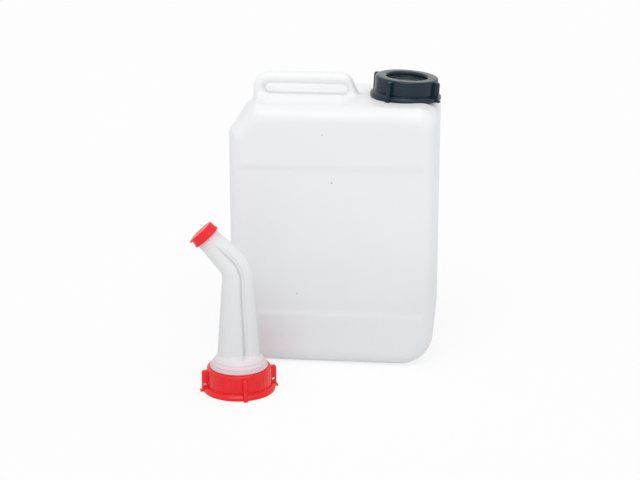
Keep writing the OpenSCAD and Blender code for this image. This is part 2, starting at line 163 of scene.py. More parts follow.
class Shader:
    """The nodes of a material, or of the world, under construction."""

    def __init__(self, owner: bpy.types.Material | bpy.types.World) -> None:
        """Empties the owner's node tree."""
        self.owner = owner
        owner.use_nodes = True
        self.tree = owner.node_tree
        self.tree.nodes.clear()

    @classmethod
    def called(cls, name: str) -> "Shader":
        """Starts a new material of that name."""
        return cls(bpy.data.materials.new(name))

    def node(self, kind: str, settings: dict | None = None, inputs: dict | None = None,
             out: int | str = 0) -> Signal:
        """Adds any node.

        Args:
            kind: The node's type.
            settings: Its own properties, which are set first.
            inputs: Values or links for its sockets, by name or number.
            out: The output that is wanted.

        Returns:
            That output.
        """
        made = self.tree.nodes.new(kind)
        for key, value in (settings or {}).items():
            setattr(made, key, value)
        for key, value in (inputs or {}).items():
            if isinstance(value, Signal):
                self.tree.links.new(value.socket, made.inputs[key])
            else:
                made.inputs[key].default_value = value
        return Signal(self, made.outputs[out])

    def place(self) -> Signal:
        """The point on the piece, in metres in the row's frame."""
        return self.node("ShaderNodeTexCoord", out="Object")

    def split(self) -> tuple[Signal, Signal, Signal]:
        """The three coordinates of the point on the piece."""
        parts = self.node("ShaderNodeSeparateXYZ", inputs={0: self.place()}).socket.node
        return tuple(Signal(self, parts.outputs[axis]) for axis in range(3))

    def near(self, spot: Place) -> Signal:
        """The distance from a spot.

        Args:
            spot: The spot, in millimetres.

        Returns:
            The distance in metres.
        """
        inputs = {0: self.place(), 1: metres(*spot)}
        settings = {"operation": "DISTANCE"}
        return self.node("ShaderNodeVectorMath", settings, inputs, out="Value")

    def seen(self) -> Signal:
        """1 for a ray that shows the background: from the camera, a mirror or through glass."""
        path = self.node("ShaderNodeLightPath").socket.node
        camera, glossy, through = (Signal(self, path.outputs[f"Is {kind} Ray"])
                                   for kind in ("Camera", "Glossy", "Transmission"))
        either = camera.math("MAXIMUM", camera, glossy)
        return either.math("MAXIMUM", either, through)

    def noise(self, scale: float, detail: float = 2.0, stretch: Place = (1, 1, 1)) -> Signal:
        """Noise from 0 to 1.

        Args:
            scale: How many features a metre holds.
            detail: Octaves.
            stretch: Scale of each axis before the noise.

        Returns:
            The noise.
        """
        where = self.node("ShaderNodeMapping", inputs={"Vector": self.place(), "Scale": stretch})
        inputs = {"Vector": where, "Scale": scale, "Detail": detail}
        return self.node("ShaderNodeTexNoise", inputs=inputs)

    def mix(self, amount: "Signal | float", first: "Signal | Colour",
            second: "Signal | Colour") -> Signal:
        """Mixes two colours.

        Args:
            amount: Share of the second colour.
            first: The colour at 0.
            second: The colour at 1.

        Returns:
            The mixed colour.
        """
        inputs = {0: amount, 6: opaque(first), 7: opaque(second)}
        return self.node("ShaderNodeMix", {"data_type": "RGBA"}, inputs, out=2)

    def bump(self, height: Signal, distance: float, strength: float,
             under: Signal | None = None) -> Signal:
        """Turns a height into a normal.

        Args:
            height: The height, about 0 to 1.
            distance: What a height of 1 stands for, in millimetres.
            strength: Share of the effect.
            under: A normal that this one goes over.

        Returns:
            The normal.
        """
        inputs = {"Height": height, "Distance": distance * MM, "Strength": strength}
        if under:
            inputs["Normal"] = under
        return self.node("ShaderNodeBump", inputs=inputs)

    def surface(self, **inputs: "Signal | float | Colour") -> bpy.types.Material:
        """Ends the material in one Principled shader.

        Args:
            inputs: Its sockets, with underscores for the spaces in their names.

        Returns:
            The finished material.
        """
        named = {key.replace("_", " "): value for key, value in inputs.items()}
        named["Base Color"] = opaque(named["Base Color"])
        shader = self.node("ShaderNodeBsdfPrincipled", inputs=named)
        return self.finish(shader)

    def finish(self, shader: Signal, kind: str = "ShaderNodeOutputMaterial"
               ) -> bpy.types.Material | bpy.types.World:
        """Links a shader to the output.

        Args:
            shader: The shader.
            kind: The output node's type.

        Returns:
            The material or the world.
        """
        output = self.tree.nodes.new(kind)
        self.tree.links.new(shader.socket, output.inputs["Surface"])
        return self.owner


def opaque(colour: "Signal | Colour") -> "Signal | tuple[float, ...]":
    """A colour with an alpha of 1, or the signal as it is."""
    return colour if isinstance(colour, Signal) else (*colour, 1.0)


@dataclass(frozen=True)
class MilkyPlastic:
    """Blow-moulded natural polyethylene: milky, satin, a little cloudy.

    Attributes:
        name: The material's name.
        pale: The lighter colour, high on the piece and between the cloudy patches.
        deep: The darker colour: of the cloudy patches, of the seam, and of the painted shade low on
            the piece.
        foot: Height where the painted shade is strongest.
        top: Height above which the painted shade has gone.
        seam_y: Where the plane of the mould's parting line lies.
    """

    name: str
    pale: Colour = (0.875, 0.885, 0.9)
    deep: Colour = (0.75, 0.78, 0.805)
    foot: float = 0.0
    top: float = 200.0
    seam_y: float = 0.0

    def material(self) -> bpy.types.Material:
        """Makes the material."""
        shader = Shader.called(self.name)
        _, y, z = shader.split()
        cloud = shader.noise(11, 4)
        streak = shader.noise(34, 3, (1, 1, 0.18))
        # Painted shade: the colour turns towards the deep colour low on the piece, as light from
        # above falls off.
        low = z.rise(self.foot * MM, self.top * MM, 0.8, 0.0)
        depth = low + (cloud - 0.5) * 0.5 + (streak - 0.5) * 0.16
        colour = self.marks(shader, shader.mix(depth.rise(-0.1, 1.0), self.pale, self.deep))
        line = abs(y - self.seam_y * MM).rise(0.25 * MM, 0.8 * MM, 1.0, 0.0)
        colour = shader.mix(line * 0.35, colour, self.deep)
        scuff = shader.noise(150, 5, (1, 1, 0.3)).rise(0.62, 0.8)
        rough = 0.36 + cloud * 0.12 + scuff * 0.14
        peel = shader.bump(shader.noise(210, 3), 0.25, 0.35)
        grain = shader.bump(shader.noise(1500, 2), 0.05, 0.3, peel)
        normal = shader.bump(shader.noise(38, 2), 0.9, 0.18, grain)
        normal = shader.bump(line, 0.3, 0.8, normal)
        return shader.surface(Base_Color=colour, Roughness=rough, Normal=normal, IOR=1.5,
                              Specular_IOR_Level=0.42)

    def marks(self, shader: Shader, colour: Signal) -> Signal:
        """Adds what a piece has on its plastic besides: nothing, here."""
        return colour


@dataclass(frozen=True)
class CanPlastic(MilkyPlastic):
    """The can's milky plastic, with painted light on the handle and the top, and a few dark specks.

    Attributes:
        crest: Colour of the painted light on the handle and the top, for light through the plastic.
        painted_light_z: Heights between which that painted light comes in.
        specks: Dark specks in the plastic, as points on the surface.
    """

    crest: Colour = (0.94, 0.943, 0.947)
    painted_light_z: Point = (236.0, 256.0)
    specks: tuple[Place, ...] = ()

    def marks(self, shader: Shader, colour: Signal) -> Signal:
        """Paints light onto the handle and the top, and draws the specks.

        Args:
            shader: The material under construction.
            colour: The plain plastic's colour.

        Returns:
            The colour with its marks.
        """
        _, _, z = shader.split()
        # Painted light: the handle and the can's top turn paler, as if lit through the plastic.
        low, high = metres(*self.painted_light_z)
        colour = shader.mix(z.rise(low, high), colour, self.crest)
        for spot in self.specks:
            fleck = shader.near(spot).rise(0.35 * MM, 0.8 * MM, 0.75, 0.0)
            colour = shader.mix(fleck, colour, (0.22, 0.2, 0.18))
        return colour


@dataclass(frozen=True)
class SpoutPlastic(MilkyPlastic):
    """The spout's milky plastic, with painted shade in its valley and painted red glow by the nut.

    Attributes:
        stand: Where the spout stands.
        elbow: Radius of its elbow.
        rise: Height where the elbow begins.
        turn: The elbow's turn in degrees.
        valley: Offset of the valley between the passages, at its foot and at the elbow.
        foot_z: Height where the valley begins.
        steps: Heights of the painted shade lines at the collar's steps.
        tip: Middle of the tip cap, around which the painted red glow lies.
        painted_red_glow: Colour of the painted red glow beside the red pieces.
    """

    stand: Point = STAND
    elbow: float = ELBOW_R
    rise: float = ELBOW_Z
    turn: float = ELBOW_TURN
    valley: Point = (6.7, 4.0)
    foot_z: float = 34.7
    steps: tuple[float, ...] = (24.2, 25.6, 28.9)
    tip: Place = (-108.0, -127.0, 147.0)
    painted_red_glow: Colour = (0.8, 0.6, 0.64)

    def across(self, x: Signal, z: Signal) -> Signal:
        """How far a point lies to the side of the spout's bent middle line.

        Args:
            x: The point's x, in metres.
            z: Its height.

        Returns:
            The distance, positive on the side away from the tip.
        """
        out, up = x - (self.stand[0] - self.elbow) * MM, z - self.rise * MM
        reach = out
        for share in (0.25, 0.5, 0.75, 1.0):
            lean = radians(self.turn * share)
            reach = reach.math("MAXIMUM", reach, out * cos(lean) + up * sin(lean))
        return reach - self.elbow * MM

    def marks(self, shader: Shader, colour: Signal) -> Signal:
        """Paints shade in the valley and collar steps, and red glow that shines through.

        Args:
            shader: The material under construction.
            colour: The plain plastic's colour.

        Returns:
            The colour with its marks.
        """
        x, _, z = shader.split()
        foot, top = self.valley
        # Painted shade along the valley between the two passages: a dark line, and a fainter one
        # beside it.
        middle = z.rise(self.foot_z * MM, self.rise * MM, foot * MM, top * MM)
        side = self.across(x, z) - middle
        where = z.rise(31 * MM, 37 * MM) * z.rise(128 * MM, 143 * MM, 1.0, 0.0)
        valley_shade_width = z.rise(40 * MM, 75 * MM, 2.3 * MM, 1.5 * MM)
        valley_shade = abs(side).math("DIVIDE", abs(side), valley_shade_width).rise(0.15, 1.0, 1.0, 0.0)
        second = abs(side - 3.1 * MM).rise(0.3 * MM, 1.2 * MM, 1.0, 0.0)
        colour = shader.mix(valley_shade * where * 0.5, colour, (0.4, 0.4, 0.41))
        colour = shader.mix(second * where * 0.16, colour, (0.45, 0.46, 0.48))
        # Painted light: red glow from the nut and the tip cap, showing through the plastic near
        # them.
        painted_red_glow_share = z.rise(24 * MM, 38 * MM, 0.75, 0.0) + shader.near(self.tip).rise(
            12 * MM, 20 * MM, 0.8, 0.0)
        colour = shader.mix(painted_red_glow_share, colour, self.painted_red_glow)
        # Painted shade: dark lines at the heights of the collar's steps.
        for step in self.steps:
            line = abs(z - step * MM).rise(0.2 * MM, 0.6 * MM, 1.0, 0.0)
            colour = shader.mix(line * 0.4, colour, (0.5, 0.43, 0.46))
        return colour


@dataclass(frozen=True)
class MouldedPlastic:
    """Injection-moulded, coloured plastic with a fine grain and rubbed edges.

    Attributes:
        name: The material's name.
        body: The main colour.
        worn: Colour of rubbed and dusty places.
        wear: Share of the worn colour.
        rough: Lowest and highest roughness.
        gloss: Strength of the reflection.
    """

    name: str
    body: Colour
    worn: Colour
    wear: float
    rough: Point
    gloss: float = 0.35

    def material(self) -> bpy.types.Material:
        """Makes the material."""
        shader = Shader.called(self.name)
        patches = shader.noise(70, 5)
        flow = shader.noise(26, 3, (1, 1, 0.4))
        scratches = shader.noise(420, 4, (1, 0.25, 1)).rise(0.6, 0.74)
        dust = patches.rise(0.45, 0.75) * self.wear + scratches * self.wear * 0.6
        shade = shader.mix(flow.rise(0.3, 0.7), [value * 0.86 for value in self.body], self.body)
        colour = shader.mix(dust, shade, self.worn)
        rough = patches.rise(0.3, 0.75, *self.rough) + scratches * 0.1
        grain = shader.bump(shader.noise(1300, 3), 0.06, 0.4)
        normal = shader.bump(shader.noise(90, 2), 0.35, 0.15, grain)
        return shader.surface(Base_Color=colour, Roughness=rough, Normal=normal, IOR=1.5,
                              Specular_IOR_Level=self.gloss)


@dataclass(frozen=True)
class Rubber:
    """Matt black rubber with a fine, slightly greyed skin.

    Attributes:
        name: The material's name.
        body: The main colour.
        bloom: Colour of the greyed places.
    """

    name: str
    body: Colour = (0.03, 0.03, 0.032)
    bloom: Colour = (0.075, 0.075, 0.078)

    def material(self) -> bpy.types.Material:
        """Makes the material."""
        shader = Shader.called(self.name)
        patches = shader.noise(120, 4)
        colour = shader.mix(patches.rise(0.4, 0.8), self.body, self.bloom)
        rough = 0.66 + patches * 0.2
        normal = shader.bump(shader.noise(1800, 3), 0.08, 0.5)
        return shader.surface(Base_Color=colour, Roughness=rough, Normal=normal)


# Modelling


def shift(x: float, y: float, z: float) -> Matrix:
    """A move by millimetres."""
    return Matrix.Translation(metres(x, y, z))


def turn_y(angle: float) -> Matrix:
    """A turn about Y in degrees."""
    return Matrix.Rotation(radians(angle), 4, "Y")


def turn_z(angle: float) -> Matrix:
    """A turn about Z in degrees."""
    return Matrix.Rotation(radians(angle), 4, "Z")


def pick_only(piece: Piece) -> None:
    """Selects one object and nothing else.

    Args:
        piece: The object.
    """
    bpy.ops.object.select_all(action="DESELECT")
    piece.select_set(True)
    bpy.context.view_layer.objects.active = piece


def settle(piece: Piece, place: Matrix | None = None) -> Piece:
    """Puts an object in its place and leaves the place in its mesh.

    Args:
        piece: The object.
        place: Its place, or nothing for where it is.

    Returns:
        The object, at the origin.
    """
    pick_only(piece)
    if place is not None:
        piece.matrix_world = place @ piece.matrix_world
    bpy.ops.object.transform_apply(location=True, rotation=True, scale=True)
    return piece


@contextmanager
def editing(piece: Piece) -> Iterator[None]:
    """Edit mode on one object, for the length of a with block.

    Args:
        piece: The object.

    Returns:
        Nothing that the block needs.
    """
    pick_only(piece)
    bpy.ops.object.mode_set(mode="EDIT")
    yield
    bpy.ops.object.mode_set(mode="OBJECT")


def choose(piece: Piece, domain: Domain, test: Callable[[list[Vector]], bool]) -> int:
    """Selects parts of a mesh in edit mode by their place.

    Args:
        piece: The object in edit mode.
        domain: Vertices, edges or faces.
        test: Takes the corners of one part in millimetres and says whether it is wanted.

    Returns:
        How many were selected.
    """
    bpy.ops.mesh.select_mode(type=domain.value)
    bpy.ops.mesh.select_all(action="DESELECT")
    mesh = bmesh.from_edit_mesh(piece.data)
    parts = {Domain.VERT: mesh.verts, Domain.EDGE: mesh.edges, Domain.FACE: mesh.faces}[domain]
    count = 0
    for part in parts:
        corners = [part] if domain is Domain.VERT else part.verts
        if test([vert.co / MM for vert in corners]):
            part.select_set(True)
            count += 1
    mesh.select_flush_mode()
    bmesh.update_edit_mesh(piece.data)
    return count


def on_face(ends: list[Vector], half: float) -> bool:
    """Whether an edge lies in the front or the back face of something that is 2 * half deep."""
    return abs(ends[0].y - ends[1].y) < 0.01 and abs(abs(ends[0].y) - half) < 0.01


def bevel(width: float, segments: int) -> None:
    """Rounds the selected edges, with a width in millimetres."""
    bpy.ops.mesh.bevel(offset=width * MM, segments=segments, profile=0.5, affect="EDGES",
                       clamp_overlap=False)


def modify(piece: Piece, kind: str, **settings: object) -> Piece:
    """Adds a modifier, sets it and applies it.

    Args:
        piece: The object.
        kind: The modifier's type.
        settings: Its properties.

    Returns:
        The object.
    """
    pick_only(piece)
    bpy.ops.object.modifier_add(type=kind)
    modifier = piece.modifiers[-1]
    for key, value in settings.items():
        setattr(modifier, key, value)
    bpy.ops.object.modifier_apply(modifier=modifier.name)
    return piece


def cut(piece: Piece, tool: Piece) -> Piece:
    """Cuts one solid out of another and takes the tool away.

    Args:
        piece: What is cut.
        tool: What it is cut with.

    Returns:
        The cut piece.
    """
    modify(piece, "BOOLEAN", operation="DIFFERENCE", solver="FAST", object=tool)
    bpy.data.objects.remove(tool)
    return piece


def join(pieces: Sequence[Piece], name: str) -> Piece:
    """Joins objects into the first one.

    Args:
        pieces: The objects.
        name: The name of the result.

    Returns:
        The joined object.
    """
    pick_only(pieces[0])
    for piece in pieces:
        piece.select_set(True)
    if len(pieces) > 1:
        bpy.ops.object.join()
    pieces[0].name = pieces[0].data.name = name
    return pieces[0]


def copies(piece: Piece, places: Sequence[Matrix]) -> list[Piece]:
    """Copies an object to each place, and takes the first one away.

    Args:
        piece: The object to copy.
        places: Where the copies go.

    Returns:
        The copies, each with its own mesh.
    """
    made = []
    for place in places:
        pick_only(piece)
        bpy.ops.object.duplicate()
        made.append(settle(bpy.context.active_object, place))
    bpy.data.objects.remove(piece)
    return made


def block(low: Place, high: Place) -> Piece:
    """A cube primitive between two corners.

    Args:
        low: The lowest corner.
        high: The highest corner.

    Returns:
        The block.
    """
    bpy.ops.object.select_all(action="DESELECT")
    middle = [(a + b) / 2 for a, b in zip(low, high)]
    bpy.ops.mesh.primitive_cube_add(size=1, location=metres(*middle))
    cube = bpy.context.active_object
    cube.scale = metres(*[b - a for a, b in zip(low, high)])
    return settle(cube)


def rod(radius: float, low: float, high: float, place: Matrix, vertices: int = 96) -> Piece:
    """A cylinder primitive along the local Z axis.

    Args:
        radius: Its radius.
        low: Where it starts.
        high: Where it ends.
        place: The place of its axis.
        vertices: Points around it.

    Returns:
        The cylinder.
    """
    bpy.ops.object.select_all(action="DESELECT")
    bpy.ops.mesh.primitive_cylinder_add(vertices=vertices, radius=radius * MM,
                                        depth=(high - low) * MM,
                                        location=metres(0, 0, (low + high) / 2))
    return settle(bpy.context.active_object, place)


def close_ring() -> None:
    """Fills the selected ring with one face."""
    bpy.ops.mesh.edge_face_add()


def outward() -> None:
    """Merges doubles and points all faces outwards, on the object in edit mode."""
    bpy.ops.mesh.select_mode(type="VERT")
    bpy.ops.mesh.select_all(action="SELECT")
    bpy.ops.mesh.remove_doubles(threshold=0.001 * MM)
    bpy.ops.mesh.normals_make_consistent(inside=False)


def turned(profile: Sequence[Point], place: Matrix, steps: int = 128) -> Piece:
    """Turns a profile about the local Z axis, ring by ring from a circle primitive.

    Args:
        profile: Radius and height of each ring. It closes on itself where the last ring is the
            first, and otherwise gets a flat face at both ends.
        place: The place of the axis.
        steps: Points around the axis.

    Returns:
        The turned solid.
    """
    first, last = profile[0], profile[-1]
    bpy.ops.object.select_all(action="DESELECT")
    bpy.ops.mesh.primitive_circle_add(vertices=steps, radius=first[0] * MM,
                                      location=metres(0, 0, first[1]))
    piece = settle(bpy.context.active_object)
    with editing(piece):
        bpy.ops.mesh.select_mode(type="EDGE")
        bpy.ops.mesh.select_all(action="SELECT")
        if first != last:
            close_ring()
        for (r0, z0), (r1, z1) in zip(profile, profile[1:]):
            bpy.ops.mesh.extrude_region_move(
                TRANSFORM_OT_translate={"value": metres(0, 0, z1 - z0)})
            ratio = r1 / r0
            bpy.ops.transform.resize(value=(ratio, ratio, 1), center_override=metres(0, 0, z1))
        outward()
    return settle(piece, place)


def rounded(corners: Sequence[tuple[float, float, float]], steps: int = 4) -> list[Point]:
    """Rounds the corners of an outline.

    Args:
        corners: Radius, height and rounding of each corner.
        steps: Points in each rounded corner, less one.

    Returns:
        The outline's points.
    """
    points = []
    for index, (x, z, r) in enumerate(corners):
        if r <= 0 or index in (0, len(corners) - 1):
            points.append((x, z))
            continue
        here = Vector((x, z))
        back = (Vector(corners[index - 1][:2]) - here).normalized()
        ahead = (Vector(corners[index + 1][:2]) - here).normalized()
        start, end = here + back * r, here + ahead * r
        for k in range(steps + 1):
            t = k / steps
            spot = start * (1 - t) ** 2 + here * (2 * t * (1 - t)) + end * t ** 2
            points.append((spot.x, spot.y))
    return points


@dataclass(frozen=True)
class Thread:
    """A right-hand screw thread.

    Attributes:
        radius: Radius of the wall that it stands on.
        side: 1 where it stands out, -1 where it stands in.
        start: Height of its first turn.
        first_turn: Direction where it begins, in degrees.
        pitch: Rise of one turn.
        depth: How far it stands off the wall.
        root_w: Its width at the wall.
        crest_w: Its width at the crest.
        turns: Its length in turns.
        foot: How far it reaches into the wall.
        steps: Steps of the sweep.
        fade: Steps over which each end grows to its full size.
    """

    radius: float
    side: int
    start: float
    first_turn: float = 0.0
    pitch: float = 6.0
    depth: float = 1.6
    root_w: float = 2.8
    crest_w: float = 1.2
    turns: float = 1.1
    foot: float = 0.5
    steps: int = 44
    fade: int = 5

    def build(self, place: Matrix) -> Piece:
        """Sweeps the thread's section, step by step, about the local Z axis.

        Args:
            place: The place of the axis.

        Returns:
            The ridge.
        """
        steps, fade = self.steps, self.fade
        low, high = self.radius - self.side * self.foot, self.radius + self.side * self.depth
        bpy.ops.object.select_all(action="DESELECT")
        bpy.ops.mesh.primitive_plane_add(size=1)
        ridge = settle(bpy.context.active_object, Matrix.Rotation(pi / 2, 4, "X"))
        for vert in ridge.data.vertices:
            outer = vert.co.x > 0
            width = self.crest_w if outer else self.root_w
            vert.co = metres(high if outer else low, 0, (width / 2) * (1 if vert.co.z > 0 else -1))
        angle = 2 * pi * self.turns / steps
        step_up = self.pitch * self.turns / steps
        small = [min(1.0, (k + 1) / fade, (steps - k + 1) / fade) for k in range(steps + 1)]
        foot_point = Vector(metres(low, 0, 0))
        with editing(ridge):
            bpy.ops.mesh.select_all(action="SELECT")
            bpy.ops.transform.resize(value=(small[0],) * 3, center_override=foot_point)
            for k in range(1, steps + 1):
                bpy.ops.mesh.extrude_region_move(
                    TRANSFORM_OT_translate={"value": metres(0, 0, step_up)})
                spin(angle, "Z", metres(0, 0, step_up * k))
                foot_at = Matrix.Rotation(angle * k, 4, "Z") @ foot_point
                ratio = small[k] / small[k - 1]
                bpy.ops.transform.resize(
                    value=(ratio,) * 3, center_override=foot_at + Vector(metres(0, 0, step_up * k)))
            outward()
        return settle(ridge, place @ turn_z(self.first_turn) @ shift(0, 0, self.start))


def spin(angle: float, axis: str, centre: Place) -> None:
    """Turns the selection, right-handed about a global axis through a centre.

    Args:
        angle: The turn in radians.
        axis: X, Y or Z.
        centre: A point of the axis, in metres.
    """
    bpy.ops.transform.rotate(value=-angle, orient_axis=axis, orient_type="GLOBAL",
                             center_override=centre)


def dress(piece: Piece, material: bpy.types.Material, body: Body,
          nodes: Sequence[str] = (), angle: float = 35.0) -> Piece:
    """Gives a finished piece its shading, its material and its place in the frame.

    Args:
        piece: The piece.
        material: Its finish.
        body: The body that it moves with.
        nodes: The CAD nodes that it stands for.
        angle: Edges sharper than this stay sharp, in degrees.

    Returns:
        The piece.
    """
    pick_only(piece)
    bpy.ops.object.shade_smooth_by_angle(angle=radians(angle))
    piece.data.materials.clear()
    piece.data.materials.append(material)
    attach(piece, body.value)
    if nodes:
        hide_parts(*nodes)
    LOG.info("%s: %d faces on %s", piece.name, len(piece.data.polygons), body.value)
    return piece


# Sub-assemblies


@dataclass
class Can:
    """The blow-moulded can with its handle, finger troughs, label panels and neck."""

    finish: MilkyPlastic
    width: float = 190.0
    depth: float = 125.0
    height: float = 246.5
    wall: float = 2.2
    edge: float = 14.0
    base: float = 31.0
    shoulder: float = 18.0
    slant_low: float = 222.72
    slant_in: float = 5.95
    slant_round: float = 18.0
    panel_low: float = 50.0
    panel_high: float = 192.0
    panel_slope: float = 1.6
    slot_left: float = -68.0
    slot_right: float = 10.0
    slot_top: float = 256.5
    slot_round: float = 4.7
    bar_h: float = 10.6
    bar_t: float = 16.0
    lean: float = 24.0
    lean_round: float = 10.7
    trough_y: float = 26.0
    trough_r: float = 24.25
    trough_depth: float = 8.0
    trough_end: float = 11.0
    neck_x: float = 63.5
    seat_z: float = 245.3
    neck_lean: float = 3.5
    seat_r: float = 37.0
    boss_r: float = 26.4
    neck_r: float = 23.2
    neck_h: float = 11.4
    mouth_r: float = 20.5
    foot_hollow: Place = (54.0, 38.0, 1.8)
    foot_round: float = 14.0
    handle_sink: float = 6.0
    handle_soft: float = 4.8
    grid: float = 2.15

    @property
    def neck(self) -> Matrix:
        """The place of the neck's axis, from its seat upwards."""
        return shift(self.neck_x, 0, self.seat_z) @ turn_y(self.neck_lean)

    def corner(self, body: Piece, x: float, z: float, radius: float, turn: float) -> None:
        """Rounds one edge that runs from front to back.

        Args:
            body: The can's block, in edit mode.
            x: Where the edge is.
            z: Its height.
            radius: The rounding.
            turn: The angle between the two sides' directions, in degrees.
        """
        near = 0.05
        choose(body, Domain.EDGE, lambda ends: all(
            hypot(p.x - x, p.z - z) < near for p in ends))
        bevel(radius * tan(radians(turn) / 2), 12)

    def block(self) -> Piece:
        """The can's outer form, with a slanted shoulder and rounded edges."""
        half_w, half_d = self.width / 2, self.depth / 2
        body = block((-half_w, -half_d, 0), (half_w, half_d, self.height))
        drop = self.height - self.slant_low
        slope = degrees(atan2(drop, self.slant_in))
        with editing(body):
            bpy.ops.mesh.select_all(action="SELECT")
            bpy.ops.mesh.bisect(plane_co=metres(-half_w, 0, self.slant_low),
                                plane_no=(-drop, 0, self.slant_in), use_fill=True,
                                clear_outer=True)
            for x in (-half_w, half_w):
                self.corner(body, x, 0, self.base, 90)
            self.corner(body, half_w, self.height, self.shoulder, 90)
            self.corner(body, -half_w, self.slant_low, self.slant_round, 90 - slope)
            self.corner(body, self.slant_in - half_w, self.height, self.slant_round, slope)
            choose(body, Domain.EDGE, lambda ends: on_face(ends, half_d))
            bevel(self.edge - 0.3, 10)
            outward()
        return body

    def panel_tool(self, side: int) -> Piece:
        """What a shallow label panel takes out of the can.

        Args:
            side: -1 for the front, 1 for the back.

        Returns:
            The tool, with slanted ends.
        """
        face = side * self.depth / 2
        tool = block((-self.width, min(face - 1, face + 1), self.panel_low - self.panel_slope),
                     (self.width, max(face - 1, face + 1), self.panel_high + self.panel_slope))
        tall = self.panel_high - self.panel_low
        with editing(tool):
            choose(tool, Domain.FACE, lambda ring: all(
                abs(p.y - (face - side)) < 0.01 for p in ring))
            ratio = (tall - 2 * self.panel_slope) / (tall + 2 * self.panel_slope)
            middle = metres(0, face, (self.panel_low + self.panel_high) / 2)
            bpy.ops.transform.resize(value=(1, 1, ratio), center_override=middle)
        return tool

    def trough_tool(self, side: int) -> Piece:
        """The round-ended channel for the fingers, as one capsule.

        Args:
            side: -1 for the front, 1 for the back.

        Returns:
            The capsule.
        """
        r, length = self.trough_r, self.slot_right - self.slot_left - 2 * self.trough_end
        arc = [radians(4 + 86 * k / 16) for k in range(17)]
        profile = [(r * sin(a), -r * cos(a)) for a in arc]
        profile += [(r * sin(a), length + r * cos(a)) for a in reversed(arc)]
        start = shift(self.slot_left + self.trough_end, side * self.trough_y,
                      self.height - self.trough_depth + r)
        return turned(profile, start @ turn_y(90), 96)

    def base_tool(self) -> Piece:
        """What the shallow recess under the can takes out."""
        half_w, half_d, deep = self.foot_hollow
        tool = block((-half_w, -half_d, -3), (half_w, half_d, deep))
        with editing(tool):
            choose(tool, Domain.EDGE, lambda ends: abs(ends[0].z - ends[1].z) > 1)
            bevel(self.foot_round, 8)
        return tool

    def handle(self) -> Piece:
        """The handle: a plate with its slot cut out and all its edges rounded."""
        top, half_t = self.slot_top + self.bar_h, self.bar_t / 2
        left, foot = self.slot_left - self.bar_h, self.height - self.handle_sink
        lean = radians(self.lean)
        end_x = self.slot_right - self.slot_round - 1 + self.lean_round * tan(
            (pi / 2 - lean) / 2)
        plate = block((left, -half_t, foot), (end_x + 30, half_t, top))
        with editing(plate):
            bpy.ops.mesh.select_all(action="SELECT")
            bpy.ops.mesh.bisect(plane_co=metres(end_x, 0, top), plane_no=(cos(lean), 0, sin(lean)),
                                use_fill=True, clear_outer=True)
            self.corner(plate, left, top, self.slot_round + self.bar_h, 90)
            self.corner(plate, end_x, top, self.lean_round, 90 - self.lean)
        slot = block((self.slot_left, -self.bar_t, foot - 5),
                     (self.slot_right, self.bar_t, self.slot_top))
        with editing(slot):
            for x in (self.slot_left, self.slot_right):
                self.corner(slot, x, self.slot_top, self.slot_round, 90)
        cut(plate, slot)
        with editing(plate):
            choose(plate, Domain.EDGE, lambda ends: on_face(ends, half_t))
            bevel(self.handle_soft, 5)
            outward()
        return plate

    def skin(self) -> Piece:
        """The whole outer skin, blended as blown plastic is."""
        body = self.block()
        for side in (-1, 1):
            cut(body, self.panel_tool(side))
            cut(body, self.trough_tool(side))
        cut(body, rod(self.seat_r, 0, 30, self.neck))
        cut(body, self.base_tool())
        boss = rod(self.boss_r, -8, 0.3, self.neck)
        skin = join([body, self.handle(), boss], "can_shell")
        modify(skin, "REMESH", mode="VOXEL", voxel_size=self.grid * MM)
        modify(skin, "SMOOTH", factor=0.5, iterations=5)
        return skin

    def shell(self) -> Piece:
        """The skin with its mouth opened and its wall added inside."""
        skin = self.skin()
        hole_r = (self.neck_r + self.mouth_r) / 2
        cut(skin, rod(hole_r, -30, 20, self.neck))
        inverse = self.neck.inverted()

        def in_hole(ring: list[Vector]) -> bool:
            """Whether a face belongs to the blind hole that the tool left.

            Args:
                ring: The face's corners.

            Returns:
                True where it does.
            """
            local = [inverse @ (p * MM) / MM for p in ring]
            return all(hypot(p.x, p.y) < hole_r + 0.02 and p.z < 15 for p in local)

        with editing(skin):
            choose(skin, Domain.FACE, in_hole)
            bpy.ops.mesh.delete(type="FACE")
        return modify(skin, "SOLIDIFY", thickness=self.wall * MM, offset=-1.0)

    def neck_piece(self) -> Piece:
        """The threaded neck, turned, with its screw thread."""
        r, h, bore = self.neck_r, self.neck_h, self.mouth_r
        profile = rounded([(r, -6, 0), (r, h, 0.9), (bore, h, 0.9), (bore, -16, 0),
                           (bore + 1.4, -16, 0), (r, -6, 0)])
        thread = Thread(r, 1, 2.2)
        return join([turned(profile, self.neck), thread.build(self.neck)], "can_neck")

    def build(self) -> None:
        """Builds and dresses the can."""
        material = self.finish.material()
        dress(self.shell(), material, Body.CAN, ["can"], 60)
        dress(self.neck_piece(), material, Body.CAN)


